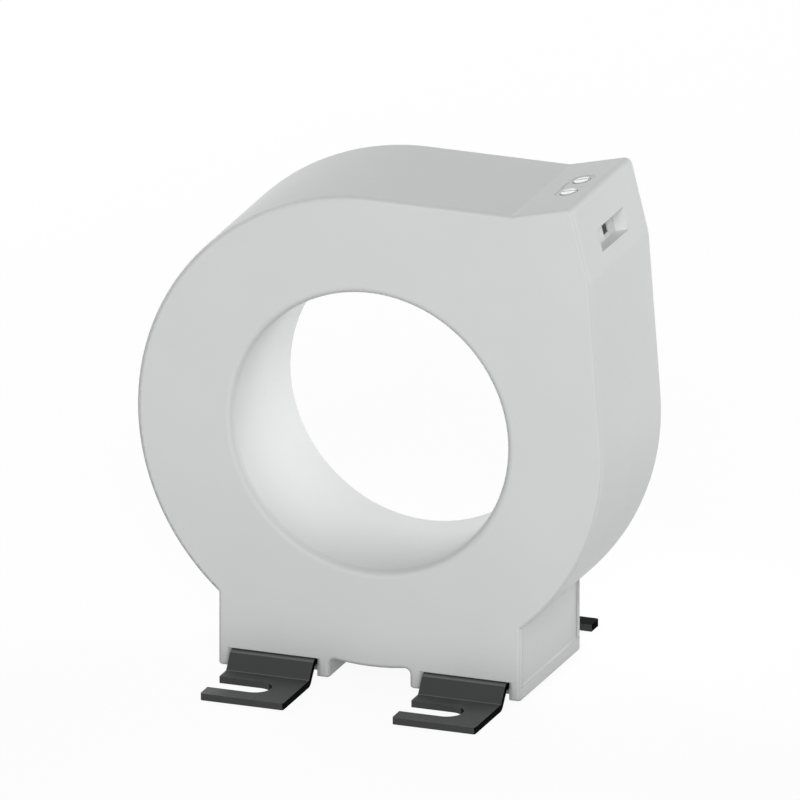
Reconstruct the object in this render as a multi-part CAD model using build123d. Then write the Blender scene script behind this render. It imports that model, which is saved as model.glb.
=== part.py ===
from build123d import *
import os
from math import atan2, cos, hypot, pi, radians, sin, sqrt, tan

# Current transformer with a round bore for the primary conductors and two screw terminals.
# Millimetres. The origin lies on the mounting plane, under the bore axis and half way
# through the depth. +Y runs along the bore, +X to the terminal side, +Z up.

# Ring
bore_dia = 60.0
ring_build = 21.05
depth = 35.0
rim_radius = 0.9
bore_rim_front = 1.6
bore_rim_back = 1.7

# Housing walls and the inset cover at the back
front_wall = 2.4
outer_wall = 2.6
bore_wall = 3.0
rim_wall = 1.8
cover_thickness = 2.2
cover_gap = 0.12

# Terminal box, the raised corner at the upper right
box_tilt = 14.0
ramp_in = 20.05
ramp_length = 13.75
box_side = 16.5
box_corner_radius = 1.5
side_wall = 3.0

# Base block: two legs under the ring, with a gap between them
leg_drop = 3.45
base_clearance = 1.3
block_width = 66.4
leg_gap = 17.5
leg_edge_radius = 0.6
leg_root_radius = 1.2
panel_recess = 0.5
panel_slope = 0.4
panel_lip = 2.8
panel_border = 0.9

# Bent-sheet feet and the pockets that hold them
sheet = 1.5
foot_width = 18.2
foot_spacing = 42.1
foot_reach = 18.5
flange_height = 3.64
flange_overhang = 0.6
flange_depth = 11.4
riser_run = 2.85
bend_inside = 0.5
foot_slot = 7.0
foot_slot_out = 10.75
foot_corner = 0.5
pocket_notch = 4.0
pocket_gap = 0.15
pocket_flare = 1.2
latch_width = 4.0
latch_length = 2.0
latch_height = 0.7
latch_inset = 7.5

# Terminals, measured in from the box's side face and down from its top face
terminal_pitch = 7.62
screw_in = 6.0
screw_hole_dia = 4.0
screw_head_dia = 3.4
screw_head_rise = 0.1
screw_dia = 2.5
thread_pitch = 0.45
screw_turns = 5.0
screw_slot_width = 0.6
screw_slot_depth = 0.5
screw_head_chamfer = 0.2
screw_tip_chamfer = 0.3
top_dish_width = 6.0
top_dish_depth = 0.2
entry_width = 14.8
entry_height = 4.9
entry_down = 7.85
running_gap = 0.05
seat_gap = 0.05
clamp_wall = 0.8
clamp_head = 1.1
clamp_width = 5.2
clamp_length = 4.0
clamp_under = 0.8
clamp_inner_round = 0.27
chamber_gap = 0.3
terminal_body_width = 16.4
terminal_face_wall = 0.9
terminal_top_wall = 1.8
terminal_back_wall = 1.2
port_width = 3.4
port_height = 2.6
port_flare = 0.5
wire_space = 3.0
bar_width = 2.6
bar_thickness = 0.8
tail_length = 2.4
shelf_thickness = 1.2
rib_inset = 1.0

# Wound core and its packing
pad_thickness = 3.0
package_gap = 0.6
tape_thickness = 0.3
tape_width = 13.0
winding_thickness = 0.9
tray_wall = 1.2
core_gap = 0.3
winding_gap_angle = 34.0
winding_gap_middle = 45.0
lead_dia = 0.8
lead_from_edge = 3.2
lead_run = 4.2

# Worked out from the above
bore_radius = bore_dia / 2
ring_radius = bore_radius + ring_build
front = -depth / 2
back = depth / 2
axis_to_base = ring_radius + leg_drop
axis_height = axis_to_base + base_clearance
block_side = block_width / 2
leg_corner = axis_height - sqrt(ring_radius**2 - block_side**2)
tilt = radians(box_tilt)
ramp_start = ring_radius - ramp_in
corner = (ramp_start + ramp_length * cos(tilt), ring_radius + ramp_length * sin(tilt))
bend = (corner[0] + box_side * sin(tilt), corner[1] - box_side * cos(tilt))
side_angle = atan2(bend[1], bend[0]) - pi / 2 + atan2(
    ring_radius, sqrt(hypot(*bend) ** 2 - ring_radius**2)
)
beyond = rim_radius  # how far a cut or a rib runs on past the face it starts from
cavity_front = front + front_wall
cavity_back = back - cover_thickness
tube_radius = bore_radius + bore_wall

bore_plane = Plane(origin=(0, 0, axis_height), x_dir=(1, 0, 0), z_dir=(0, -1, 0))
# In the terminal plane, x goes in from the side face, y along the bore, z down from the top.
terminal_plane = Plane(
    origin=(corner[0], 0, axis_height + corner[1]),
    x_dir=(-cos(tilt), 0, -sin(tilt)),
    z_dir=(sin(tilt), 0, -cos(tilt)),
)


def block(x0, x1, y0, y1, z0, z1):
    """A box given by its low and high corners."""
    centre = Pos((x0 + x1) / 2, (y0 + y1) / 2, (z0 + z1) / 2)
    return centre * Box(x1 - x0, y1 - y0, z1 - z0)


def between(face, y0, y1):
    """A face drawn about the bore axis, made into a solid from y0 to y1."""
    return extrude(bore_plane.offset(-y1) * face, amount=y1 - y0)


def ring(inner, outer, y0, y1):
    return between(Circle(outer) - Circle(inner), y0, y1)


def crossing(normal_a, distance_a, normal_b, distance_b):
    """The point where two lines meet, each given by its normal's angle and its distance."""
    ca, sa, cb, sb = cos(normal_a), sin(normal_a), cos(normal_b), sin(normal_b)
    det = ca * sb - sa * cb
    return (
        (distance_a * sb - distance_b * sa) / det,
        (distance_b * ca - distance_a * cb) / det,
    )


def outline(inset, side_inset):
    """Front view of the ring with its terminal box, moved inwards by the given walls."""
    radius = ring_radius - inset
    ramp_normal, side_normal = tilt + pi / 2, tilt
    ramp_distance = corner[0] * cos(ramp_normal) + corner[1] * sin(ramp_normal) - inset
    side_distance = corner[0] * cos(side_normal) + corner[1] * sin(side_normal) - side_inset
    start = crossing(pi / 2, radius, ramp_normal, ramp_distance)
    top = crossing(ramp_normal, ramp_distance, side_normal, side_distance)
    low = crossing(side_normal, side_distance, side_angle, radius)
    touch = (radius * cos(side_angle), radius * sin(side_angle))
    far = (-radius * sin(pi / 4), -radius * sin(pi / 4))
    wire = Line((0, radius), start) + Line(start, top) + Line(top, low) + Line(low, touch)
    return make_face(wire + ThreePointArc(touch, far, (0, radius)))


def housing_outline():
    """Front view of the whole housing: the ring and its box, and the two legs below."""
    leg_top = leg_corner - axis_height + 2 * beyond
    size = (block_side - leg_gap / 2, leg_top + axis_to_base)
    shape = outline(0, 0)
    for side in (-1, 1):
        x = side * (block_side + leg_gap / 2) / 2
        shape += Pos(x, leg_top - size[1] / 2) * Rectangle(*size)
    root_height = -sqrt(ring_radius**2 - leg_gap**2 / 4)
    roots = [
        shape.vertices().sort_by_distance((side * leg_gap / 2, root_height, 0))[0]
        for side in (-1, 1)
    ]
    shape = fillet(roots, leg_root_radius)
    box_corner = shape.vertices().sort_by_distance((corner[0], corner[1], 0))[0]
    return fillet(box_corner, box_corner_radius)


def housing_blank():
    """The housing's outside, rounded along its rims and round the feet of its legs."""
    blank = between(housing_outline(), front, back)
    ends = blank.edges().group_by(Axis.Y)
    base = axis_height - axis_to_base
    rims = (ends[0] + ends[-1]).filter_by(lambda e: e.center().Z > base + base_clearance / 2)
    blank = fillet(rims, rim_radius)
    return fillet(blank.edges().group_by(Axis.Z)[0], leg_edge_radius)


def leg_panel(side):
    """The shallow panel in a leg's outer side, from a sloped lower lip up to the ring."""
    floor_x = block_side - panel_recess
    base = axis_height - axis_to_base
    panel = block(
        floor_x, block_side + beyond, front + panel_border, back - panel_border,
        base + panel_lip, leg_corner + beyond,
    )
    lip = panel.edges().filter_by(Axis.Y).sort_by_distance((floor_x, 0, base + panel_lip))[0]
    panel = chamfer(lip, panel_slope)
    panel -= between(Circle(ring_radius), front, back)
    return panel if side > 0 else mirror(panel, about=Plane.YZ)


def foot_places():
    """Each foot's name and its place: the rear pair is the front pair turned half round."""
    for end, turn in (("front", 0), ("rear", 180)):
        for side, sign in (("left", -1), ("right", 1)):
            x = sign * foot_spacing / 2
            place = Pos(x, 0, 0) * Rot(0, 0, turn) * Pos(0, front, 0)
            yield f"foot_{end}_{side}", place


def foot_profile():
    """Section of the foot through its bends: flange, riser and plate."""
    plate_top = sheet
    flange_top = sheet + flange_height
    path = FilletPolyline(
        (flange_depth, flange_top),
        (-flange_overhang, flange_top),
        (-flange_overhang - riser_run, plate_top),
        (-foot_reach, plate_top),
        radius=[bend_inside + sheet, bend_inside],
    )
    return make_face(offset(path, amount=sheet, side=Side.LEFT, closed=True))


def make_foot():
    half = foot_width / 2
    foot = extrude(Plane.YZ * foot_profile(), amount=half, both=True)
    tips = foot.edges().filter_by(Axis.Z).group_by(Axis.Y)[0]
    foot = fillet(tips, foot_corner)
    slot_y = -foot_slot_out
    foot -= Pos(0, slot_y, 0) * Cylinder(foot_slot / 2, 4 * sheet)
    foot -= block(
        -half - beyond, 0, slot_y - foot_slot / 2, slot_y + foot_slot / 2, -sheet, 2 * sheet
    )
    gap = pocket_gap
    foot -= block(
        -latch_width / 2 - gap, latch_width / 2 + gap,
        latch_inset - gap, latch_inset + latch_length + gap,
        flange_height - sheet, flange_height + 3 * sheet,
    )
    return foot


def foot_pocket():
    """The room for a foot: a flared notch open downwards, then a closed slot with a latch."""
    half = foot_width / 2 + pocket_gap
    roof = sheet + flange_height + pocket_gap
    floor = flange_height - pocket_gap
    mouth = half + pocket_flare
    path = Line((-half, pocket_notch), (-half, pocket_flare))
    path += RadiusArc((-half, pocket_flare), (-mouth, 0), pocket_flare)
    path += Polyline((-mouth, 0), (-mouth, -beyond), (mouth, -beyond), (mouth, 0))
    path += RadiusArc((mouth, 0), (half, pocket_flare), pocket_flare)
    path += Polyline((half, pocket_flare), (half, pocket_notch), (-half, pocket_notch))
    room = extrude(make_face(path), amount=roof)
    room += block(-half, half, 0, flange_depth + pocket_gap, floor, roof)
    room -= block(
        -latch_width / 2, latch_width / 2, latch_inset, latch_inset + latch_length,
        roof - latch_height, roof,
    )
    return room


def terminal_ribs():
    """Ribs in the box that the terminal body slides between: a shelf under it, a stop ahead."""
    low = terminal_depth + seat_gap
    stop = -terminal_body_width / 2 - seat_gap
    rib_in = terminal_in + rib_inset
    shelf = block(
        side_wall - beyond, terminal_in + terminal_length, cavity_front - beyond, -stop,
        low, low + shelf_thickness,
    )
    rib = block(
        rib_in, rib_in + shelf_thickness, cavity_front - beyond, stop,
        outer_wall - beyond, low + shelf_thickness / 2,
    )
    return terminal_plane * (shelf + rib)


def bore_edge(body, end):
    """The bore's circular edge at the front (0) or the back (-1)."""
    circles = body.edges().filter_by(GeomType.CIRCLE)
    rims = circles.filter_by(lambda e: abs(e.radius - bore_radius) < 0.01)
    return rims.group_by(Axis.Y)[end]


def terminal_cuts():
    """Wire entry in the box's side, the shallow dish in its top and the two screw holes."""
    cuts = block(
        -beyond, side_wall + seat_gap, -entry_width / 2, entry_width / 2,
        entry_down, entry_down + entry_height,
    )
    dish = Rot(0, 0, 90) * SlotCenterToCenter(terminal_pitch, top_dish_width)
    cuts += Pos(screw_in, 0, 0) * extrude(dish, amount=top_dish_depth, both=True)
    for y in terminal_places:
        cuts += Pos(screw_in, y, 0) * Cylinder(screw_hole_dia / 2, 2 * (outer_wall + beyond))
    return terminal_plane * cuts


def make_housing():
    body = housing_blank()
    body -= between(Circle(bore_radius), front - beyond, back + beyond)
    body = fillet(bore_edge(body, 0), bore_rim_front)
    body = fillet(bore_edge(body, -1), bore_rim_back)
    cavity = between(outline(outer_wall, side_wall), cavity_front, back + beyond)
    cavity += between(outline(rim_wall, rim_wall), cavity_back, back + beyond)
    cavity -= between(Circle(tube_radius), cavity_front, back + beyond)
    body -= cavity
    body += terminal_ribs()
    for side in (-1, 1):
        body -= leg_panel(side)
    for _, place in foot_places():
        body -= place * foot_pocket()
    return body - terminal_cuts()


def make_cover():
    """The inset back cover, with the rib that holds the terminal body against its stop."""
    inset = rim_wall + cover_gap
    cover = between(
        outline(inset, inset) - Circle(tube_radius + cover_gap), cavity_back, back
    )
    rib_in = terminal_in + rib_inset
    rib = block(
        rib_in, rib_in + shelf_thickness,
        terminal_body_width / 2 + seat_gap, cavity_back + beyond,
        outer_wall + rib_inset, terminal_depth - rib_inset,
    )
    return cover + terminal_plane * rib


# Terminal levels, down from the top face, and places, in from the side face
terminal_places = (-terminal_pitch / 2, terminal_pitch / 2)
clamp_travel = screw_turns * thread_pitch
terminal_in = side_wall + seat_gap
terminal_top = outer_wall + seat_gap
chamber_in = terminal_in + terminal_face_wall
chamber_length = clamp_length + 2 * chamber_gap
terminal_length = terminal_face_wall + chamber_length + terminal_back_wall
plate_under = terminal_top + terminal_top_wall
clamp_top = plate_under + chamber_gap + clamp_travel
bar_top = clamp_top + clamp_head + chamber_gap
wire_top = bar_top + bar_thickness
clamp_low = wire_top + wire_space + clamp_wall
terminal_depth = clamp_low + clamp_under
bar_back = terminal_in + terminal_length + seat_gap
port_down = wire_top + (wire_space - port_height) / 2


def make_terminal_body():
    """Moulded block with two chambers, open below, and a flared wire port into each."""
    half = terminal_body_width / 2
    body = block(
        terminal_in, terminal_in + terminal_length, -half, half, terminal_top, terminal_depth
    )
    chamber_half = clamp_width / 2 + chamber_gap
    for y in terminal_places:
        body -= block(
            chamber_in, chamber_in + chamber_length, y - chamber_half, y + chamber_half,
            plate_under, terminal_depth + beyond,
        )
        port = block(
            terminal_in - beyond, chamber_in + beyond, y - port_width / 2, y + port_width / 2,
            port_down, port_down + port_height,
        )
        body -= port
        bore = Pos(screw_in, y, terminal_top) * Cylinder(
            screw_dia / 2 + running_gap, 3 * terminal_top_wall
        )
        body -= bore
        body -= block(
            chamber_in + beyond, bar_back + beyond, y - bar_width / 2 - running_gap,
            y + bar_width / 2 + running_gap, bar_top - running_gap, wire_top + running_gap,
        )
    port_middle = port_down + port_height / 2
    mouths = body.edges().group_by(Axis.X)[0].filter_by(
        lambda e: abs(e.center().Y) < half and abs(e.center().Z - port_middle) < port_height
    )
    body = chamfer(mouths, port_flare)
    return terminal_plane * body


def make_screw(y):
    """Captive slotted screw: its head turns on the terminal body, its end bears on the bar."""
    head_low = terminal_top - seat_gap
    head = Pos(0, 0, (head_low - screw_head_rise) / 2) * Cylinder(
        screw_head_dia / 2, head_low + screw_head_rise
    )
    head = chamfer(head.edges().group_by(Axis.Z)[0], screw_head_chamfer)
    tip = bar_top - seat_gap
    shank = Pos(0, 0, (head_low + tip) / 2) * Cylinder(screw_dia / 2, tip - head_low)
    shank = chamfer(shank.edges().group_by(Axis.Z)[-1], screw_tip_chamfer)
    slot = Pos(0, 0, -screw_head_rise) * Box(
        2 * screw_head_dia, screw_slot_width, 2 * screw_slot_depth
    )
    return terminal_plane * Pos(screw_in, y, 0) * (head + shank - slot)


def make_clamp(y):
    """Rising cage: a folded steel loop that the screw draws up under the contact bar."""
    cage = block(
        chamber_in + chamber_gap, chamber_in + chamber_gap + clamp_length,
        y - clamp_width / 2, y + clamp_width / 2, clamp_top, clamp_low,
    )
    folds = cage.edges().filter_by(Axis.X)
    cage = fillet(folds, clamp_wall)
    window = block(
        chamber_in - beyond, chamber_in + chamber_length + beyond,
        y - clamp_width / 2 + clamp_wall, y + clamp_width / 2 - clamp_wall,
        clamp_top + clamp_head, clamp_low - clamp_wall,
    )
    cage -= fillet(window.edges().filter_by(Axis.X), clamp_inner_round)
    cage -= Pos(screw_in, y, clamp_top) * Cylinder(screw_dia / 2 + running_gap, 4 * clamp_head)
    return terminal_plane * cage


def make_bar(y):
    """Contact bar: flat through the cage, then down the body's back to its solder tail."""
    low = terminal_depth + shelf_thickness + tail_length
    bar = block(
        chamber_in + running_gap, bar_back + bar_thickness, y - bar_width / 2, y + bar_width / 2,
        bar_top, wire_top,
    )
    tail = block(
        bar_back, bar_back + bar_thickness, y - bar_width / 2, y + bar_width / 2, bar_top, low
    )
    bar += tail
    bends = bar.edges().filter_by(Axis.Y).sort_by_distance((bar_back + bar_thickness, y, bar_top))
    return terminal_plane * fillet(bends[0], bar_thickness)


def make_lead(y):
    """Lead from the winding's lower end to its solder tail, in arcs as large as its runs allow."""
    radius = winding_outer - lead_dia / 2 - running_gap
    angle = radians(winding_gap_middle - winding_gap_angle / 2)
    start_y = package_front + lead_from_edge if y < 0 else package_back - lead_from_edge
    start = Vector(radius * cos(angle), start_y, axis_height + radius * sin(angle))
    tail_end = terminal_depth + shelf_thickness + tail_length
    tail_middle = bar_back + bar_thickness / 2
    tail = terminal_plane.from_local_coords(Vector(tail_middle, y, tail_end))
    below = terminal_plane.from_local_coords(Vector(tail_middle, y, tail_end + lead_run))
    first = start + lead_run * Vector(-sin(angle), 0, cos(angle))
    points = [start, first, below, tail]
    runs = [b - a for a, b in zip(points, points[1:])]
    radii = [
        0.45 * min(before.length, after.length) / tan(radians(before.get_angle(after) / 2))
        for before, after in zip(runs, runs[1:])
    ]
    path = FilletPolyline(*points, radius=radii)
    section = Plane(origin=start, z_dir=runs[0]) * Circle(lead_dia / 2)
    return sweep(section, path=path)


# The wound core, from the housing's walls inwards
package_outer = ring_radius - outer_wall - package_gap
package_inner = tube_radius + package_gap
package_front = cavity_front + pad_thickness
package_back = cavity_back - pad_thickness
winding_outer = package_outer - tape_thickness - running_gap
tray_outer = winding_outer - winding_thickness
tray_inner = package_inner + winding_thickness
tray_front = package_front + winding_thickness
tray_back = package_back - winding_thickness


def make_winding():
    """The secondary: a closed layer round the tray, left open where the leads come out."""
    section = Rectangle(winding_outer - package_inner, package_back - package_front)
    section = fillet(section.vertices(), winding_thickness)
    section -= Rectangle(tray_outer - tray_inner, tray_back - tray_front)
    middle = (winding_outer + package_inner) / 2
    plane = Plane(origin=(0, 0, axis_height), x_dir=(1, 0, 0), z_dir=(0, 0, 1))
    section = plane * Pos(middle, (package_front + package_back) / 2, 0) * section
    begin = -(winding_gap_middle + winding_gap_angle / 2)
    section = section.rotate(Axis(origin=(0, 0, axis_height), direction=(0, 1, 0)), begin)
    return revolve(
        section, axis=Axis(origin=(0, 0, axis_height), direction=(0, -1, 0)),
        revolution_arc=360 - winding_gap_angle,
    )


def make_parts():
    gap = running_gap
    parts = {"housing_body": make_housing(), "rear_cover": make_cover()}
    parts["front_pad"] = ring(package_inner, package_outer, cavity_front, package_front)
    parts["rear_pad"] = ring(package_inner, package_outer, package_back, cavity_back)
    lid_seat = tray_back - tray_wall
    tray = ring(tray_inner + gap, tray_outer - gap, tray_front + gap, lid_seat)
    inner = tray_inner + tray_wall
    outer = tray_outer - tray_wall
    parts["core_tray"] = tray - ring(inner, outer, tray_front + tray_wall, back)
    parts["core_lid"] = ring(tray_inner + gap, tray_outer - gap, lid_seat, tray_back - gap)
    parts["magnetic_core"] = ring(
        inner + core_gap, outer - core_gap, tray_front + tray_wall, lid_seat - core_gap
    )
    parts["secondary_winding"] = make_winding()
    parts["winding_tape"] = ring(
        package_outer - tape_thickness, package_outer, -tape_width / 2, tape_width / 2
    )
    parts["terminal_body"] = make_terminal_body()
    for name, y in zip(("front", "rear"), terminal_places):
        parts[f"terminal_screw_{name}"] = make_screw(y)
        parts[f"wire_clamp_{name}"] = make_clamp(y)
        parts[f"contact_bar_{name}"] = make_bar(y)
        parts[f"lead_wire_{name}"] = make_lead(y)
    foot = make_foot()
    for name, place in foot_places():
        parts[name] = place * foot
    return parts


os.makedirs("parts", exist_ok=True)
for node, shape in make_parts().items():
    shape.label = node
    export_step(shape, f"parts/{node}.step")
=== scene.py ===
import bpy
import math
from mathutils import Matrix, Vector


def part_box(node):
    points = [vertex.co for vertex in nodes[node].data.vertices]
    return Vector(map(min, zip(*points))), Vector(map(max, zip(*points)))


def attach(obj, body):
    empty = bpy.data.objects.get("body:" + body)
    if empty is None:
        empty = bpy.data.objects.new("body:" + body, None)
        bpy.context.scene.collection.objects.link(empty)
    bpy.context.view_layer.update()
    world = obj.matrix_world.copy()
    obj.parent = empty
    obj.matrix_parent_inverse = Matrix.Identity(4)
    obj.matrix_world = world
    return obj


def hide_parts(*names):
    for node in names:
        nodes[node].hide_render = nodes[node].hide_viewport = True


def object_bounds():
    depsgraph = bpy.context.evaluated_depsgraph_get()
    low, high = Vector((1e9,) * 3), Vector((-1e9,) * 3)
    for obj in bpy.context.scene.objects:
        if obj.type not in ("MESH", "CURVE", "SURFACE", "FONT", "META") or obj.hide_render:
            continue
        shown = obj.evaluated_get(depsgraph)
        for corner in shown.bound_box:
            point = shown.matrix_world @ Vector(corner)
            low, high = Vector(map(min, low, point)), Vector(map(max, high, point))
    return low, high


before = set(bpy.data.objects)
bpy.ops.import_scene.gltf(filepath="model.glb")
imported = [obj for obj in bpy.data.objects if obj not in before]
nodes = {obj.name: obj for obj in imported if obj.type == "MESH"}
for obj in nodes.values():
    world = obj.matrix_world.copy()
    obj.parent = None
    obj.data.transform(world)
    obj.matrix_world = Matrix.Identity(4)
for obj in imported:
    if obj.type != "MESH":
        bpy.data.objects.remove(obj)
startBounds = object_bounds()
boreAxis = (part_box("magnetic_core")[0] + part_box("magnetic_core")[1]) / 2
halfDepth = (startBounds[1][1] - startBounds[0][1]) / 2
print("frame loaded:", len(nodes), "nodes")


# Helpers for shader trees

def addNode(tree, kind, inputs=None, **settings):
    made = tree.nodes.new("ShaderNode" + kind)
    for name, value in settings.items():
        setattr(made, name, value)
    for key, value in (inputs or {}).items():
        connect(tree, value, made.inputs[key])
    return made


def connect(tree, value, socket):
    if isinstance(value, bpy.types.NodeSocket):
        tree.links.new(value, socket)
    else:
        socket.default_value = value


def calc(tree, operation, *values, clamp=False):
    made = addNode(tree, "Math", dict(enumerate(values)), operation=operation, use_clamp=clamp)
    return made.outputs[0]


def spread(tree, value, low, high, outLow=0.0, outHigh=1.0):
    made = addNode(tree, "MapRange", {
        "Value": value, "From Min": low, "From Max": high, "To Min": outLow, "To Max": outHigh,
    })
    return made.outputs["Result"]


def product(tree, *values):
    result = values[0]
    for value in values[1:]:
        result = calc(tree, "MULTIPLY", result, value)
    return result


# 1 where a value is within inner of the middle, falling to 0 at outer.
def around(tree, value, middle, outer, inner):
    away = calc(tree, "ABSOLUTE", calc(tree, "SUBTRACT", value, middle))
    return spread(tree, away, outer, inner)


# The x, y and z of the object's own place and of its surface's direction.
def placeAndFacing(tree):
    source = addNode(tree, "TexCoord").outputs
    place = addNode(tree, "SeparateXYZ", {0: source["Object"]}).outputs
    facing = addNode(tree, "SeparateXYZ", {0: source["Normal"]}).outputs
    return place, facing


def shadeOf(color, factor, limit=1.0):
    return tuple(min(c * factor, limit) for c in color[:3]) + (1.0,)


def mixColor(tree, factor, first, second):
    made = addNode(tree, "Mix", data_type="RGBA")
    for place, value in ((0, factor), (6, first), (7, second)):
        connect(tree, value, made.inputs[place])
    return made.outputs[2]


def newGroup(name, inputs, outputs):
    group = bpy.data.node_groups.new(name, "ShaderNodeTree")
    for title, value in inputs.items():
        socket = group.interface.new_socket(name=title, in_out="INPUT", socket_type="NodeSocketFloat")
        socket.default_value = value
    for title in outputs:
        kind = "NodeSocketVector" if title == "Normal" else "NodeSocketFloat"
        group.interface.new_socket(name=title, in_out="OUTPUT", socket_type=kind)
    return group, group.nodes.new("NodeGroupInput"), group.nodes.new("NodeGroupOutput")


def useGroup(tree, group, **inputs):
    made = tree.nodes.new("ShaderNodeGroup")
    made.node_tree = group
    for key, value in inputs.items():
        connect(tree, value, made.inputs[key])
    return made.outputs


# Shared surface effects. Sizes are in metres on the object.

# A soft noise from 0 to 1 whose grains have the given size, with a detail level.
def makeNoiseGroup():
    group, entry, end = newGroup("softNoise", {"Size": 0.001, "Detail": 2.0, "Contrast": 1.0}, ["Value"])
    place = addNode(group, "TexCoord").outputs["Object"]
    noise = addNode(group, "TexNoise", {
        "Vector": place,
        "Scale": calc(group, "DIVIDE", 1.0, entry.outputs["Size"]),
        "Detail": entry.outputs["Detail"],
        "Roughness": 0.55,
    })
    centred = calc(group, "SUBTRACT", noise.outputs[0], 0.5)
    raised = calc(group, "MULTIPLY_ADD", centred, entry.outputs["Contrast"], 0.5, clamp=True)
    connect(group, raised, end.inputs["Value"])
    return group


# Eroded mould texture: small rounded pits and lands as a height from 0 to 1.
def makeTextureGroup():
    group, entry, end = newGroup("mouldTexture", {"Size": 0.0004}, ["Value"])
    place = addNode(group, "TexCoord").outputs["Object"]
    scale = calc(group, "DIVIDE", 1.0, entry.outputs["Size"])
    cells = addNode(group, "TexVoronoi", {"Vector": place, "Scale": scale, "Smoothness": 0.9},
                    feature="SMOOTH_F1")
    noise = addNode(group, "TexNoise", {
        "Vector": place, "Scale": calc(group, "MULTIPLY", scale, 0.45), "Detail": 4.0,
    })
    both = calc(group, "MULTIPLY", cells.outputs["Distance"], 0.6)
    connect(group, calc(group, "MULTIPLY_ADD", noise.outputs[0], 0.6, both), end.inputs["Value"])
    return group


# Rounded normal within Radius of an edge, and a worn-edge mask broken up by noise.
def makeEdgeGroup():
    group, entry, end = newGroup("edgeRound", {"Radius": 0.0003, "Breakup": 0.5}, ["Mask", "Normal"])
    bevel = addNode(group, "Bevel", {"Radius": entry.outputs["Radius"]}, samples=4)
    plain = addNode(group, "NewGeometry").outputs["Normal"]
    dot = addNode(group, "VectorMath", {0: bevel.outputs[0], 1: plain}, operation="DOT_PRODUCT")
    away = spread(group, dot.outputs["Value"], 0.995, 0.80)
    noise = useGroup(group, softNoise, Size=0.0012, Detail=3.0, Contrast=1.6)["Value"]
    kept = spread(group, noise, 0.35, 0.65)
    broken = calc(group, "MULTIPLY", away, calc(group, "SUBTRACT", 1.0,
                  calc(group, "MULTIPLY", entry.outputs["Breakup"], kept)), clamp=True)
    connect(group, broken, end.inputs["Mask"])
    connect(group, bevel.outputs[0], end.inputs["Normal"])
    return group


# A mask that rises where surfaces close in on each other, such as seams and pockets.
def makeCreviceGroup():
    group, entry, end = newGroup("creviceMask", {"Reach": 0.003}, ["Mask"])
    near = addNode(group, "AmbientOcclusion", {"Distance": entry.outputs["Reach"]}, samples=4)
    connect(group, spread(group, near.outputs["AO"], 0.9, 0.35), end.inputs["Mask"])
    return group


softNoise = makeNoiseGroup()
mouldTexture = makeTextureGroup()
edgeRound = makeEdgeGroup()
creviceMask = makeCreviceGroup()
print("shader groups built")


# Materials

def newMaterial(name):
    material = bpy.data.materials.new(name)
    material.use_nodes = True
    tree = material.node_tree
    tree.nodes.clear()
    end = tree.nodes.new("ShaderNodeOutputMaterial")
    shader = tree.nodes.new("ShaderNodeBsdfPrincipled")
    tree.links.new(shader.outputs[0], end.inputs["Surface"])
    return material, tree, shader


def addBump(tree, height, depth, normal=None):
    bump = addNode(tree, "Bump", {"Height": height, "Distance": depth, "Strength": 1.0})
    if normal is not None:
        tree.links.new(normal, bump.inputs["Normal"])
    return bump.outputs["Normal"]


plastic = {
    "housingGrey": (0.624, 0.640, 0.633),
    "terminalGrey": (0.640, 0.656, 0.649),
    "worn": (0.74, 0.76, 0.75, 1.0),
    "wornAmount": 0.05,
    "roughness": 0.36,
    "roughnessDrift": 0.04,
    "edgePolish": 0.08,
    "specular": 0.56,
    "textureSize": 0.00035,
    "textureDepth": 0.000006,
    "toneSize": 0.022,
    "toneAmount": 0.022,
    "grainSize": 0.0016,
    "edgeRadius": 0.00025,
}

# Painted shade and painted light on the moulding, as places made darker or paler. These imitate the
# shading in the photograph, so they stay in the colour under any light, and an amount of 0 turns one off.
# A pair is where a mask starts and where it is full.
# Heights are shares of the bore axis's height, depths are shares of half the part's depth,
# turns are parts of the surface's direction from 0 to 1, and reaches are in metres. The painted
# shade factor and the painted light factor multiply the colour, the painted light up to its limit.
plasticPaintedShading = {
    # Painted shade near the feet, in the lowest part, on rounded edges and in the bore's mouths.
    "paintedShadeFactor": 0.55,
    "footReach": 0.014,
    "footHeights": (0.394, 0.118),
    "footOutward": (-0.02, -0.002),
    "footAmount": 0.95,
    "lowHeights": (0.824, 0.165),
    "lowAmount": 0.13,
    "edgeTurn": 0.74,
    "edgeWidths": (0.25, 0.06),
    "lipTurn": 0.62,
    "lipWidths": (0.20, 0.08),
    "edgeAmount": 0.19,
    "mouthUpward": (0.3, 0.95),
    "mouthHeights": (0.968, 0.824),
    "mouthDepths": (0.222, 0.889),
    "mouthAmount": 0.27,
    # Painted light on closed-in side walls.
    "paintedLightFactor": 1.45,
    "paintedLightLimit": 0.93,
    "innerReach": 0.006,
    "innerAside": (0.7, 0.3),
    "innerHeights": (0.986, 1.129),
    "innerAmount": 0.62,
}


def heightMask(tree, place, shares):
    return spread(tree, place["Z"], *(share * boreAxis.z for share in shares))
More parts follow.
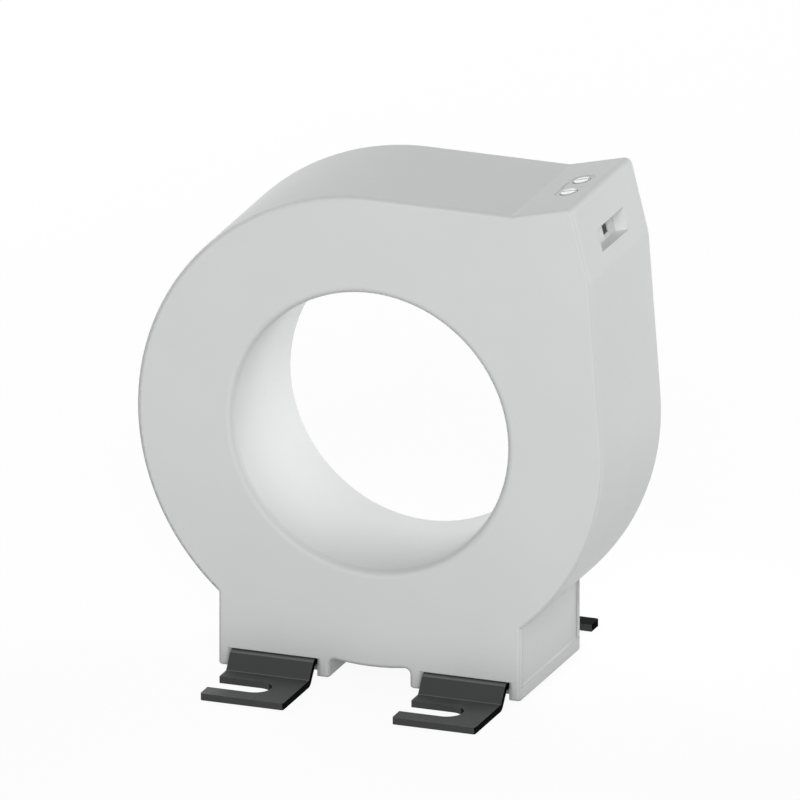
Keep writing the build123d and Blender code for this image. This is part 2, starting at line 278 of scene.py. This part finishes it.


# Painted shade near the feet, in the lowest part, on rounded edges and at the bottom of the bore's mouths.
def paintedShadePlaces(tree, place, facing):
    shades = plasticPaintedShading
    # Painted shade near the feet, where low front surfaces close in.
    closed = useGroup(tree, creviceMask, Reach=shades["footReach"])["Mask"]
    outward = spread(tree, product(tree, place["Y"], facing["Y"]), *shades["footOutward"])
    low = product(tree, outward, heightMask(tree, place, shades["footHeights"]))
    nearFeet = product(tree, closed, low, shades["footAmount"])
    # Painted shade on rounded edges turned partly to the front or back, and on low lips.
    edges = around(tree, calc(tree, "ABSOLUTE", facing["Y"]), shades["edgeTurn"], *shades["edgeWidths"])
    lips = product(tree, low, around(tree, facing["Z"], shades["lipTurn"], *shades["lipWidths"]))
    rounded = product(tree, calc(tree, "MAXIMUM", edges, lips), shades["edgeAmount"])
    # Painted shade over the lowest part.
    lowest = product(tree, heightMask(tree, place, shades["lowHeights"]), shades["lowAmount"])
    # Painted shade on upward faces at the bottom of the bore's mouths.
    upward = spread(tree, facing["Z"], *shades["mouthUpward"])
    depths = (share * halfDepth for share in shades["mouthDepths"])
    nearMouth = spread(tree, calc(tree, "ABSOLUTE", place["Y"]), *depths)
    mouth = product(tree, upward, heightMask(tree, place, shades["mouthHeights"]), nearMouth,
                    shades["mouthAmount"])
    total = calc(tree, "ADD", calc(tree, "ADD", lowest, rounded), mouth)
    return calc(tree, "ADD", total, nearFeet, clamp=True)


# Painted light on closed-in side walls above the bore axis, such as those of the wire entry,
# which the photograph shows this light, and of the screw holes.
def paintedLightPlaces(tree, place, facing):
    shades = plasticPaintedShading
    inner = useGroup(tree, creviceMask, Reach=shades["innerReach"])["Mask"]
    aside = spread(tree, calc(tree, "ABSOLUTE", facing["Y"]), *shades["innerAside"])
    return product(tree, inner, aside, heightMask(tree, place, shades["innerHeights"]),
                   shades["innerAmount"])


# Light grey moulded plastic: fine mould texture, faint tone drift, softened edges, with painted light and
# painted shade by place.
def makePlastic(name, color):
    material, tree, shader = newMaterial(name)
    tone = useGroup(tree, softNoise, Size=plastic["toneSize"], Detail=2.0, Contrast=1.5)["Value"]
    fine = useGroup(tree, softNoise, Size=plastic["grainSize"], Detail=4.0, Contrast=1.2)["Value"]
    edge = useGroup(tree, edgeRound, Radius=plastic["edgeRadius"], Breakup=0.6)
    texture = useGroup(tree, mouldTexture, Size=plastic["textureSize"])["Value"]
    place, facing = placeAndFacing(tree)
    amount = plastic["toneAmount"]
    drifted = mixColor(tree, tone, shadeOf(color, 1 - amount), shadeOf(color, 1 + amount))
    worn = mixColor(tree, product(tree, edge["Mask"], plastic["wornAmount"]), drifted, plastic["worn"])
    # Painted light on closed-in side walls, then painted shade by place.
    paintedLit = mixColor(tree, paintedLightPlaces(tree, place, facing), worn,
                     shadeOf(color, plasticPaintedShading["paintedLightFactor"], plasticPaintedShading["paintedLightLimit"]))
    connect(tree, mixColor(tree, paintedShadePlaces(tree, place, facing), paintedLit,
                           shadeOf(color, plasticPaintedShading["paintedShadeFactor"])), shader.inputs["Base Color"])
    middle, drift = plastic["roughness"], plastic["roughnessDrift"]
    rough = spread(tree, fine, 0.2, 0.8, middle - drift, middle + drift)
    connect(tree, calc(tree, "SUBTRACT", rough, product(tree, edge["Mask"], plastic["edgePolish"])),
            shader.inputs["Roughness"])
    shader.inputs["Specular IOR Level"].default_value = plastic["specular"]
    connect(tree, addBump(tree, texture, plastic["textureDepth"], edge["Normal"]), shader.inputs["Normal"])
    return material


blackSteel = {
    "face": (0.0170, 0.0175, 0.0180, 1.0),
    "faceDrift": (0.85, 1.2),
    # Painted light on top of the front feet's plates.
    "paintedTopLight": (0.050, 0.051, 0.052, 1.0),
    "sheared": (0.0016, 0.0017, 0.0018, 1.0),
    # Worn edges, and the painted highlight along the bends.
    "worn": (0.130, 0.130, 0.131, 1.0),
    # Where the painted highlight along the bends falls, and how strong it is.
    "bendLow": 0.72,
    "bendHigh": 0.94,
    "bendFade": 0.03,
    "bendHighlight": 0.70,
    "edgeWear": 0.70,
    # Where painted light and painted shade fall on the plates' tops.
    "topShadingDepths": (0.833, 0.278),
    "topShadingUpward": (0.75, 0.97),
    "shearedTurn": (0.45, 0.75),
    # Painted shade on top of the rear feet's plates.
    "rearTopShadeAmount": 0.85,
    "roughness": 0.46,
    "roughnessDrift": 0.05,
    "shearedRoughness": 0.4,
    "specular": 0.50,
    "shearedSpecular": 0.02,
    "toneSize": 0.006,
    "grainSize": 0.00022,
    "grainDepth": 0.000007,
    "edgeRadius": 0.00022,
}


# Black-finished sheet: satin faces with a fine grain, matt sheared ends, pale worn edges and a
# painted highlight along the bends. The rear feet's plates are darker on top than the front
# ones, by painted shade on the rear ones and painted light on the front ones, to imitate the
# shading in the photograph. The feet are of one sheet, and an amount of 0 for the rear plates'
# painted shade leaves the rear ones plain.
def makeBlackSteel():
    material, tree, shader = newMaterial("blackSteel")
    tone = useGroup(tree, softNoise, Size=blackSteel["toneSize"], Detail=3.0, Contrast=1.6)["Value"]
    grain = useGroup(tree, softNoise, Size=blackSteel["grainSize"], Detail=3.0, Contrast=1.4)["Value"]
    edge = useGroup(tree, edgeRound, Radius=blackSteel["edgeRadius"], Breakup=0.7)
    place, facing = placeAndFacing(tree)
    flat = spread(tree, facing["Z"], *blackSteel["topShadingUpward"])
    front = spread(tree, place["Y"], *(share * halfDepth for share in blackSteel["topShadingDepths"]))
    # Painted shade on the rear feet's upward faces.
    rearTopShade = product(tree, calc(tree, "SUBTRACT", 1.0, front), flat, blackSteel["rearTopShadeAmount"])
    sheared = spread(tree, calc(tree, "ABSOLUTE", facing["X"]), *blackSteel["shearedTurn"])
    matt = calc(tree, "MAXIMUM", sheared, rearTopShade)
    # Painted light on the front feet's upward faces.
    topLightMask = product(tree, front, flat, spread(tree, tone, 0.1, 0.9, 0.6, 1.0))
    # Painted highlight along the bends, picked by how far the surface faces up.
    bendMiddle = (blackSteel["bendLow"] + blackSteel["bendHigh"]) / 2
    bend = around(tree, facing["Z"], bendMiddle, blackSteel["bendHigh"] - bendMiddle,
                  blackSteel["bendFade"])
    shades = [shadeOf(blackSteel["face"], factor) for factor in blackSteel["faceDrift"]]
    drifted = mixColor(tree, tone, *shades)
    paintedTopLight = mixColor(tree, topLightMask, drifted, blackSteel["paintedTopLight"])
    bent = mixColor(tree, product(tree, bend, blackSteel["bendHighlight"]), paintedTopLight, blackSteel["worn"])
    # The sheared ends' near-black also serves as painted shade on the rear plates' tops.
    cut = mixColor(tree, matt, bent, blackSteel["sheared"])
    rubbed = product(tree, edge["Mask"], calc(tree, "SUBTRACT", 1.0, matt), blackSteel["edgeWear"])
    connect(tree, mixColor(tree, rubbed, cut, blackSteel["worn"]), shader.inputs["Base Color"])
    middle, drift = blackSteel["roughness"], blackSteel["roughnessDrift"]
    rough = spread(tree, tone, 0.2, 0.8, middle - drift, middle + drift)
    connect(tree, calc(tree, "MULTIPLY_ADD", matt, blackSteel["shearedRoughness"], rough, clamp=True),
            shader.inputs["Roughness"])
    connect(tree, spread(tree, matt, 0.0, 1.0, blackSteel["specular"], blackSteel["shearedSpecular"]),
            shader.inputs["Specular IOR Level"])
    connect(tree, addBump(tree, grain, blackSteel["grainDepth"], edge["Normal"]), shader.inputs["Normal"])
    return material


metals = {
    "screwSteel": {"color": (0.92, 0.92, 0.915), "roughness": 0.36, "scratch": 0.00018, "depth": 0.000003},
    "clampSteel": {"color": (0.74, 0.74, 0.73), "roughness": 0.42, "scratch": 0.00030, "depth": 0.000004},
    "contactMetal": {"color": (0.80, 0.78, 0.74), "roughness": 0.28, "scratch": 0.00025, "depth": 0.000003},
}
plating = {
    "scratchStretch": 0.12,
    "stainSize": 0.0015,
    "stainShade": 0.92,
    "edgeRadius": 0.00012,
    "edgeBright": (0.95, 0.95, 0.94, 1.0),
    "edgeAmount": 0.4,
}


# Plated metal: fine turned or rolled scratches, faint stains and brighter edges.
def makeMetal(name, color, roughness, scratch, depth):
    material, tree, shader = newMaterial(name)
    place = addNode(tree, "TexCoord").outputs["Object"]
    drawn = addNode(tree, "Mapping", {"Vector": place,
                                      "Scale": (1.0, plating["scratchStretch"], 1.0)}).outputs[0]
    lines = addNode(tree, "TexNoise", {"Vector": drawn, "Scale": 1.0 / scratch, "Detail": 3.0}).outputs[0]
    stain = useGroup(tree, softNoise, Size=plating["stainSize"], Detail=3.0, Contrast=1.5)["Value"]
    edge = useGroup(tree, edgeRound, Radius=plating["edgeRadius"], Breakup=0.4)
    tone = mixColor(tree, spread(tree, stain, 0.3, 0.75), shadeOf(color, 1.0),
                    shadeOf(color, plating["stainShade"]))
    connect(tree, mixColor(tree, product(tree, edge["Mask"], plating["edgeAmount"]), tone,
                           plating["edgeBright"]), shader.inputs["Base Color"])
    shader.inputs["Metallic"].default_value = 1.0
    connect(tree, spread(tree, lines, 0.25, 0.75, roughness - 0.06, roughness + 0.08),
            shader.inputs["Roughness"])
    connect(tree, addBump(tree, lines, depth, edge["Normal"]), shader.inputs["Normal"])
    return material


copper = {
    "enamel": (0.46, 0.155, 0.048, 1.0),
    "dark": (0.27, 0.082, 0.026, 1.0),
    "roughness": 0.30,
    "metallic": 0.85,
    "coat": 0.6,
    "coatRoughness": 0.12,
    "toneSize": 0.004,
    "grainSize": 0.0003,
    "grainDepth": 0.000004,
}


# Enamelled copper wire with slight shade changes from turn to turn.
def makeCopper():
    material, tree, shader = newMaterial("copperWire")
    tone = useGroup(tree, softNoise, Size=copper["toneSize"], Detail=3.0, Contrast=1.7)["Value"]
    fine = useGroup(tree, softNoise, Size=copper["grainSize"], Detail=3.0, Contrast=1.3)["Value"]
    connect(tree, mixColor(tree, tone, copper["dark"], copper["enamel"]), shader.inputs["Base Color"])
    shader.inputs["Metallic"].default_value = copper["metallic"]
    connect(tree, spread(tree, fine, 0.2, 0.8, copper["roughness"] - 0.05, copper["roughness"] + 0.08),
            shader.inputs["Roughness"])
    shader.inputs["Coat Weight"].default_value = copper["coat"]
    shader.inputs["Coat Roughness"].default_value = copper["coatRoughness"]
    connect(tree, addBump(tree, fine, copper["grainDepth"]), shader.inputs["Normal"])
    return material


core = {
    "color": (0.30, 0.31, 0.33, 1.0),
    "dark": (0.16, 0.165, 0.18, 1.0),
    "ringSpacing": 0.001885,
    "ringDepth": 0.00002,
    "ringAmount": 0.35,
    "waveTurn": 20,
    "stainSize": 0.008,
    "roughness": 0.38,
}


# Wound strip core: its end faces show the strip's edges as fine rings about the bore.
def makeCoreSteel(axisHeight):
    material, tree, shader = newMaterial("coreSteel")
    place = addNode(tree, "TexCoord").outputs["Object"]
    centred = addNode(tree, "Mapping", {"Vector": place, "Location": (0.0, 0.0, -axisHeight),
                                        "Rotation": (math.pi / 2, 0.0, 0.0)}).outputs[0]
    # The wave texture turns by waveTurn radians over a length of 1 at a scale of 1.
    scale = 2 * math.pi / (core["waveTurn"] * core["ringSpacing"])
    rings = addNode(tree, "TexWave", {"Vector": centred, "Scale": scale, "Distortion": 0.4},
                    wave_type="RINGS", rings_direction="Z", wave_profile="SIN").outputs[1]
    stain = useGroup(tree, softNoise, Size=core["stainSize"], Detail=4.0, Contrast=1.6)["Value"]
    tone = mixColor(tree, stain, core["dark"], core["color"])
    connect(tree, mixColor(tree, product(tree, rings, core["ringAmount"]), tone, core["dark"]),
            shader.inputs["Base Color"])
    shader.inputs["Metallic"].default_value = 1.0
    connect(tree, spread(tree, stain, 0.2, 0.8, core["roughness"] - 0.05, core["roughness"] + 0.1),
            shader.inputs["Roughness"])
    connect(tree, addBump(tree, rings, core["ringDepth"]), shader.inputs["Normal"])
    return material


softs = {
    "leadSleeve": {"color": (0.055, 0.055, 0.058), "roughness": 0.50, "size": 0.00025, "depth": 0.000008},
    "trayPlastic": {"color": (0.055, 0.060, 0.066), "roughness": 0.52, "size": 0.00040, "depth": 0.000010},
    "windingTape": {"color": (0.62, 0.46, 0.12), "roughness": 0.32, "size": 0.00200, "depth": 0.000030},
    "foamPad": {"color": (0.10, 0.105, 0.11), "roughness": 0.90, "size": 0.00060, "depth": 0.000150},
}
softFinish = {
    "toneSize": 0.006,
    "toneAmount": 0.14,
    "edgeRadius": 0.0002,
}


# A non-metal inner part: grain of its own size, shade drift and softened edges.
def makeSoft(name, color, roughness, size, depth):
    material, tree, shader = newMaterial(name)
    tone = useGroup(tree, softNoise, Size=softFinish["toneSize"], Detail=3.0, Contrast=1.6)["Value"]
    grain = useGroup(tree, mouldTexture, Size=size)["Value"]
    edge = useGroup(tree, edgeRound, Radius=softFinish["edgeRadius"], Breakup=0.5)
    amount = softFinish["toneAmount"]
    connect(tree, mixColor(tree, tone, shadeOf(color, 1 - amount), shadeOf(color, 1 + amount)),
            shader.inputs["Base Color"])
    connect(tree, spread(tree, tone, 0.2, 0.8, roughness - 0.05, min(roughness + 0.06, 1.0)),
            shader.inputs["Roughness"])
    connect(tree, addBump(tree, grain, depth, edge["Normal"]), shader.inputs["Normal"])
    return material


materials = {
    "housing_grey": makePlastic("housingGrey", plastic["housingGrey"]),
    "terminal_grey": makePlastic("terminalGrey", plastic["terminalGrey"]),
    "black_steel": makeBlackSteel(),
    "screw_steel": makeMetal("screwSteel", **metals["screwSteel"]),
    "clamp_steel": makeMetal("clampSteel", **metals["clampSteel"]),
    "contact_metal": makeMetal("contactMetal", **metals["contactMetal"]),
    "lead_sleeve": makeSoft("leadSleeve", **softs["leadSleeve"]),
    "copper_winding": makeCopper(),
    "core_steel": makeCoreSteel(boreAxis.z),
    "tray_plastic": makeSoft("trayPlastic", **softs["trayPlastic"]),
    "tape": makeSoft("windingTape", **softs["windingTape"]),
    "foam": makeSoft("foamPad", **softs["foamPad"]),
}
for item in nodes.values():
    for place in item.material_slots:
        place.material = materials[place.material.name.split(".")[0]]
print("materials assigned:", len(materials))


# Secondary winding: real turns of wire in place of the plain closed layer

winding = {
    "wire": 0.00080,
    "layer": 0.00090,
    "turnSpacing": 0.00084,
    "gapMiddle": 45.0,
    "gapAngle": 34.0,
    "cornerSteps": 3,
    "wireSides": 6,
}


# Smallest and largest distance of a node's points from the bore axis.
def radiiAbout(node, axis):
    distances = [math.hypot(v.co.x - axis.x, v.co.z - axis.z) for v in nodes[node].data.vertices]
    return min(distances), max(distances)


# Points once round a rounded rectangle, as (outwards, along the bore) from its centre.
def turnPath(width, height, radius):
    points = []
    for corner in range(4):
        across = (width / 2 - radius) * (1 if corner in (0, 3) else -1)
        along = (height / 2 - radius) * (1 if corner in (0, 1) else -1)
        for step in range(winding["cornerSteps"] + 1):
            angle = math.pi / 2 * (corner + step / winding["cornerSteps"])
            points.append((across + radius * math.cos(angle), along + radius * math.sin(angle)))
    return points


def windingPoints(axis):
    inner, outer = radiiAbout("secondary_winding", axis)
    low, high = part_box("secondary_winding")
    inset = winding["layer"] / 2
    loop = turnPath(outer - inner - 2 * inset, high.y - low.y - 2 * inset, inset)
    middle, middleY = (inner + outer) / 2, (low.y + high.y) / 2
    pitch = winding["turnSpacing"] / (inner + inset)
    first = math.radians(winding["gapMiddle"] + winding["gapAngle"] / 2) + pitch
    turns = int((math.radians(360 - winding["gapAngle"]) - 2 * pitch) / pitch)
    for count in range(turns * len(loop)):
        across, along = loop[count % len(loop)]
        angle = first + pitch * count / len(loop)
        radius = middle + across
        yield Vector((axis.x + radius * math.cos(angle), middleY + along,
                      axis.z + radius * math.sin(angle)))


def makeWinding(axis):
    points = list(windingPoints(axis))
    sides, radius = winding["wireSides"], winding["wire"] / 2
    vertices = []
    for before, point, after in zip([points[0]] + points, points, points[1:] + [points[-1]]):
        along = (after - before).normalized()
        tangent = Vector((-(point.z - axis.z), 0.0, point.x - axis.x)).normalized()
        aside = (tangent - along * tangent.dot(along)).normalized()
        lift = along.cross(aside)
        for side in range(sides):
            turn = 2 * math.pi * side / sides
            vertices.append(point + aside * radius * math.cos(turn) + lift * radius * math.sin(turn))
    faces = [
        (k * sides + side, k * sides + (side + 1) % sides,
         (k + 1) * sides + (side + 1) % sides, (k + 1) * sides + side)
        for k in range(len(points) - 1) for side in range(sides)
    ]
    last = (len(points) - 1) * sides
    faces += [tuple(reversed(range(sides))), tuple(range(last, last + sides))]
    mesh = bpy.data.meshes.new("windingTurns")
    mesh.from_pydata(vertices, [], faces)
    mesh.shade_smooth()
    mesh.materials.append(materials["copper_winding"])
    turnsPiece = bpy.data.objects.new("windingTurns", mesh)
    bpy.context.scene.collection.objects.link(turnsPiece)
    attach(turnsPiece, "housing")
    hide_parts("secondary_winding")


makeWinding(boreAxis)
print("winding built")


# Floor, light and camera

floorLook = {
    "size": 8.0,
    "seen": (0.95, 0.95, 0.95, 1.0),
    "bounce": (0.34, 0.34, 0.34, 1.0),
    "glow": 0.93,
    "grainSize": 0.002,
    "grainDepth": 0.00002,
}
skyLook = {
    "level": 0.03,
    "seenLevel": 1.0,
}


# 1 for rays from the camera, from a reflection or through glass, else 0.
def seenDirectly(tree):
    path = addNode(tree, "LightPath").outputs
    either = calc(tree, "MAXIMUM", path["Is Camera Ray"], path["Is Glossy Ray"])
    return calc(tree, "MAXIMUM", either, path["Is Transmission Ray"])


# A floor that looks white, keeps the object's shadow and throws little light back up.
def makeFloor():
    bpy.ops.mesh.primitive_plane_add(size=floorLook["size"], location=(0.0, 0.0, 0.0))
    floor = bpy.context.object
    floor.name = "floorPlane"
    material = bpy.data.materials.new("floorWhite")
    material.use_nodes = True
    tree = material.node_tree
    tree.nodes.clear()
    end = tree.nodes.new("ShaderNodeOutputMaterial")
    seen = seenDirectly(tree)
    grain = useGroup(tree, softNoise, Size=floorLook["grainSize"], Detail=3.0, Contrast=1.2)["Value"]
    matt = addNode(tree, "BsdfDiffuse", {
        "Color": mixColor(tree, seen, floorLook["bounce"], floorLook["seen"]),
        "Normal": addBump(tree, grain, floorLook["grainDepth"]),
    })
    white = addNode(tree, "Emission", {"Color": (1.0, 1.0, 1.0, 1.0), "Strength": 1.0})
    mix = addNode(tree, "MixShader", {0: product(tree, seen, floorLook["glow"]),
                                      1: matt.outputs[0], 2: white.outputs[0]})
    tree.links.new(mix.outputs[0], end.inputs["Surface"])
    floor.data.materials.append(material)


# A sky that looks white and lights the object only a little.
def makeWorld():
    world = bpy.data.worlds.new("studioSky")
    bpy.context.scene.world = world
    world.use_nodes = True
    tree = world.node_tree
    tree.nodes.clear()
    end = tree.nodes.new("ShaderNodeOutputWorld")
    level = spread(tree, seenDirectly(tree), 0.0, 1.0, skyLook["level"], skyLook["seenLevel"])
    shade = addNode(tree, "Background", {"Color": (1.0, 1.0, 1.0, 1.0), "Strength": level})
    tree.links.new(shade.outputs[0], end.inputs["Surface"])


view = {
    "aim": (0.0048, -0.0124, 0.0619),
    "azimuth": 20.705,
    "elevation": 19.471,
    "width": 0.1642,
    "distance": 0.8,
}
target = Vector(view["aim"])

# Each lamp: the direction it comes from (azimuth towards +X from the front, elevation),
# its distance from the target, watts and size.
lamps = {
    "viewer": (20.0, 20.0, 1.6, 25.4, 1.0),
    "leftBehind": (-120.0, 20.0, 0.8, 4.3, 0.5),
    "backRight": (150.0, 30.0, 0.8, 1.4, 0.5),
    "rightBehind": (125.0, 8.0, 0.8, 2.8, 0.5),
    "behind": (180.0, 15.0, 0.8, 0.7, 0.5),
    "boreFill": (162.0, 4.0, 0.11, 0.031, 0.05),
}


def directionFrom(azimuth, elevation):
    a, e = math.radians(azimuth), math.radians(elevation)
    return Vector((math.sin(a) * math.cos(e), -math.cos(a) * math.cos(e), math.sin(e)))


def makeLamps():
    for name, (azimuth, elevation, distance, watts, size) in lamps.items():
        data = bpy.data.lights.new(name, "AREA")
        data.shape = "DISK"
        data.size = size
        data.energy = watts
        lamp = bpy.data.objects.new(name, data)
        towards = directionFrom(azimuth, elevation)
        lamp.location = target + towards * distance
        lamp.rotation_euler = towards.to_track_quat("Z", "Y").to_euler()
        lamp.visible_glossy = False
        lamp.visible_camera = False
        bpy.context.scene.collection.objects.link(lamp)


def makeCamera():
    data = bpy.data.cameras.new("photoCamera")
    data.type = "ORTHO"
    data.ortho_scale = view["width"]
    data.clip_start, data.clip_end = 0.01, 10.0
    camera = bpy.data.objects.new("photoCamera", data)
    towards = directionFrom(view["azimuth"], view["elevation"])
    camera.location = target + towards * view["distance"]
    camera.rotation_euler = towards.to_track_quat("Z", "Y").to_euler()
    bpy.context.scene.collection.objects.link(camera)
    bpy.context.scene.camera = camera


makeFloor()
makeWorld()
makeLamps()
makeCamera()
bpy.context.scene.view_settings.view_transform = "Standard"
print("stage, light and camera ready")
